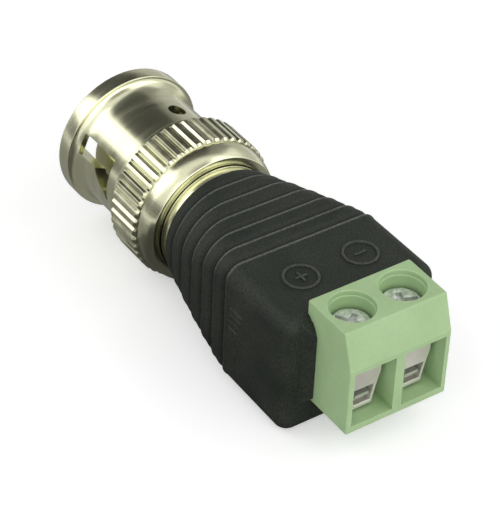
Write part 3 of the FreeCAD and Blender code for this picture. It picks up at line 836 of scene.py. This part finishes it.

# Clamp screws. Zinc plated cheese heads with a slot and a cross in one recess. Each turns
# in its well without moving down, and its thread draws the cage up.

# Painted highlight: the edges are painted near white for the glints along the recess edges
zinc = finish("bright zinc", (0.58, 0.61, 0.57), (1.0, 1.0, 0.98), (0.26, 0.46), metallic=0.55,
              wear_and_highlight_amount=0.8, wear_and_highlight_colour=(1.0, 1.0, 1.0), reach=0.0001, bump=1.0, depth=0.00006, fine=3000.0,
              cloud=1800.0, painted_shade_tint=0.2, speckle=0.2)
recess_low = 5.93
recess_half = 0.275
for pole, side, turn in (("plus", -1, 35), ("minus", 1, 70)):
    y = side * pole_pitch / 2
    head = lathe(rounded([(1.98, 0, 0), (1.98, 1.45, 0), (5.03, 1.45, 0), (5.03, 1.75, 0.05),
                          (6.28, 1.75, 0.2), (6.28, 0, 0)], 4), 72)
    head.transform(Matrix.Rotation(-math.pi / 2, 4, "Y"))
    screw = as_object(head, "screw_" + pole)
    slot = brick((-1.45, -recess_half, recess_low), (1.45, recess_half, 6.9))
    cross = brick((-recess_half, -1.05, recess_low), (recess_half, 1.05, 6.9))
    carve(screw, [slot, cross])
    soften(screw, 0.05, 40, 2)
    turned = Matrix.Rotation(math.radians(turn), 4, "Z")
    screw.data.transform(Matrix.Translation((screw_x, y, 0)) @ turned)
    settle(screw, "screw_" + pole, zinc, ["clamp_screw_" + pole])

# Clamp cages and blades. A folded and tapped cage, pale from its tin, rises round a fixed
# blade. The ribs of its foot bite the wire.

cage_tin = finish("cage tin plate", (0.76, 0.73, 0.65), (0.90, 0.87, 0.79), (0.30, 0.45),
                  metallic=0.5, wear_and_highlight_colour=(0.92, 0.90, 0.84), wear_and_highlight_amount=0.6, bump=0.12, cloud=500.0)
cage_front = 41.3
for pole, side in (("plus", -1), ("minus", 1)):
    y = side * pole_pitch / 2
    half = [(1.75, 3.3), (1.75, 1.925), (1.4175, 0.8), (1.05, -0.8), (1.05, -1.22)]
    corners = [(y + a, b, 0.1) for a, b in half] + [(y - a, b, 0.1) for a, b in reversed(half)]
    cage = as_object(prism(rounded(corners, 3), 37.05, cage_front, "x"), "cage_" + pole)
    throat = [(y - 0.77, -0.92), (y + 0.77, -0.92), (y + 1.1375, 0.8), (y - 1.1375, 0.8)]
    carve(cage, [
        prism(throat, 36, 42, "x"),
        drum((screw_x, y, 0), (0, 0, 1), 1.5, 4),
    ])
    soften(cage, 0.05, 40, 2)
    for index in range(4):
        front = cage_front - index * 0.68
        rib = prism(rounded([(front - 0.22, -0.98, 0), (front, -0.98, 0), (front, -0.8, 0.05),
                             (front - 0.22, -0.8, 0.05)], 3), y - 0.79, y + 0.79, "y")
        carve(cage, [rib], "UNION")
    settle(cage, "cage_" + pole, cage_tin, ["clamp_cage_" + pole])
    dress(["contact_blade_" + pole], tinned)

# Floor, light and camera. A pale table under the knurl and the housing's end, soft boxes
# on four sides, cards that darken what the metal mirrors, and the camera of the photograph.


def lit_for_camera(tree, dim, bright, into):
    """Shader that is bright for camera, glossy and transmission rays, and dim for the rest."""
    path = tree.nodes.new("ShaderNodeLightPath")
    seen = path.outputs["Is Camera Ray"]
    for kind in ("Is Glossy Ray", "Is Transmission Ray"):
        more = tree.nodes.new("ShaderNodeMath")
        more.operation = "MAXIMUM"
        tree.links.new(seen, more.inputs[0])
        tree.links.new(path.outputs[kind], more.inputs[1])
        seen = more.outputs["Value"]
    either = tree.nodes.new("ShaderNodeMixShader")
    tree.links.new(seen, either.inputs[0])
    tree.links.new(dim, either.inputs[1])
    tree.links.new(bright, either.inputs[2])
    tree.links.new(either.outputs[0], into)


floor_mesh = bmesh.new()
bmesh.ops.create_grid(floor_mesh, x_segments=1, y_segments=1, size=900)
floor_tilt = math.radians(-4.55)
floor_x = 13.35
floor_z = -7.24
floor_mesh.transform(Matrix.Translation((floor_x, 0, floor_z)) @ Matrix.Rotation(floor_tilt, 4, "Y"))
floor = as_object(floor_mesh, "table")
floor.data.transform(Matrix.Scale(MM, 4))
paper = bpy.data.materials.new("white paper")
paper.use_nodes = True
tree = paper.node_tree
sheet = tree.nodes["Principled BSDF"]
sheet.inputs["Base Color"].default_value = (0.86, 0.86, 0.86, 1)
sheet.inputs["Roughness"].default_value = 0.9
sheet.inputs["Specular IOR Level"].default_value = 0.1
glow = tree.nodes.new("ShaderNodeEmission")
glow.inputs["Strength"].default_value = 0.42
lifted = tree.nodes.new("ShaderNodeAddShader")
tree.links.new(sheet.outputs["BSDF"], lifted.inputs[0])
tree.links.new(glow.outputs[0], lifted.inputs[1])
lit_for_camera(tree, sheet.outputs["BSDF"], lifted.outputs[0],
               tree.nodes["Material Output"].inputs["Surface"])
floor.data.materials.append(paper)

world = bpy.data.worlds.new("studio")
bpy.context.scene.world = world
world.use_nodes = True
tree = world.node_tree
back = tree.nodes["Background"]
back.inputs["Color"].default_value = (1, 1, 1, 1)
back.inputs["Strength"].default_value = 0.40
white = tree.nodes.new("ShaderNodeBackground")
white.inputs["Color"].default_value = (1, 1, 1, 1)
lit_for_camera(tree, back.outputs[0], white.outputs[0],
               tree.nodes["World Output"].inputs["Surface"])


middle = Vector((20, 0, 0))


def from_centre(azimuth, elevation, distance):
    """Point at a distance from the piece's middle. The azimuth turns from +X to +Y."""
    turn, lift = math.radians(azimuth), math.radians(elevation)
    aim = Vector((math.cos(turn) * math.cos(lift), math.sin(turn) * math.cos(lift), math.sin(lift)))
    return middle + aim * distance


def soft_box(name, place, size, level):
    """Square lamp that faces the piece and shines at this level, where 1 is white."""
    lamp = bpy.data.lights.new(name, "AREA")
    lamp.shape = "SQUARE"
    lamp.size = size * MM
    lamp.energy = level * math.pi * (size * MM) ** 2
    box = bpy.data.objects.new(name, lamp)
    bpy.context.scene.collection.objects.link(box)
    box.location = place * MM
    box.rotation_euler = (middle - place).to_track_quat("-Z", "Y").to_euler()
    box.visible_camera = False


def card(name, place, facing, size, level):
    """Grey card that only the metal mirrors, turned to the point facing."""
    mesh = bmesh.new()
    bmesh.ops.create_grid(mesh, x_segments=1, y_segments=1, size=0.5)
    turn = (Vector(facing) - Vector(place)).to_track_quat("Z", "Y").to_matrix().to_4x4()
    mesh.transform(Matrix.Translation(place) @ turn @ Matrix.Diagonal((*size, 1, 1)))
    mesh.transform(Matrix.Scale(MM, 4))
    made = as_object(mesh, name)
    grey = bpy.data.materials.new(name)
    grey.use_nodes = True
    tree = grey.node_tree
    tree.nodes.clear()
    shine = tree.nodes.new("ShaderNodeEmission")
    shine.inputs["Color"].default_value = (level, level, level, 1)
    output = tree.nodes.new("ShaderNodeOutputMaterial")
    tree.links.new(shine.outputs[0], output.inputs["Surface"])
    made.data.materials.append(grey)
    for kind in ("camera", "diffuse", "shadow", "transmission", "volume_scatter"):
        setattr(made, "visible_" + kind, False)


soft_box("left box", from_centre(-133, 38, 150), 118, 1.15)
soft_box("right box", from_centre(55, 48, 150), 120, 1.0)
soft_box("front box", from_centre(-50, 38, 320), 208, 0.8)
soft_box("end box", from_centre(-5, 25, 200), 190, 1.3)
card("mouth card", from_centre(169, 46, 120), middle, (116, 84), 0.07)
card("mouth card rim", from_centre(160, 46, 124), middle, (170, 110), 0.25)
card("far card", from_centre(122, 4, 160), middle, (330, 110), 0.55)
card("near card", from_centre(-105, 4, 170), middle, (300, 90), 0.2)
card("top card", from_centre(8, 70, 150), middle, (90, 90), 0.33)

# Cards that lie on the table, the strips a little higher
table_up = Vector((-0.0793, 0, 0.9968))
table_slope = 0.0796
for name, x, y, size, level in (("dark strip", 29, -28, (66, 36), 0.07),
                                ("plug strip", 11, -10, (18, 8), 0.1),
                                ("table card", -55, 0, (110, 260), 0.5),
                                ("shaded table card", 37, 0, (74, 200), 0.28)):
    over = 0.1 if name.endswith("card") else 0.4
    place = Vector((x, y, floor_z + table_slope * (x - floor_x) + over))
    card(name, place, place + 50 * table_up, size, level)

# Camera fitted to the photograph: its turn, its distance and its focal length in pixels
azimuth = math.radians(54.14)
elevation = math.radians(38.52)
roll = math.radians(2.79)
camera_away = 200.95
focal_pixels = 2283.8
photo_pixels = 508
sensor_width = 36
toward = Vector((math.sin(azimuth) * math.cos(elevation), -math.cos(azimuth) * math.cos(elevation),
                 math.sin(elevation)))
right = (-toward).cross(Vector((0, 0, 1))).normalized()
up = right.cross(-toward)
right, up = (math.cos(roll) * right + math.sin(roll) * up,
             -math.sin(roll) * right + math.cos(roll) * up)
spot = middle + toward * camera_away + right * 0.68 - up * 0.65
camera_data = bpy.data.cameras.new("camera")
camera_data.lens = focal_pixels / photo_pixels * sensor_width
camera_data.sensor_width = sensor_width
camera_data.clip_start = 0.01
camera = bpy.data.objects.new("camera", camera_data)
bpy.context.scene.collection.objects.link(camera)
pose = Matrix((right, up, toward)).transposed().to_4x4()
camera.matrix_world = Matrix.Translation(spot * MM) @ pose
bpy.context.scene.camera = camera
bpy.context.scene.view_settings.view_transform = "Standard"
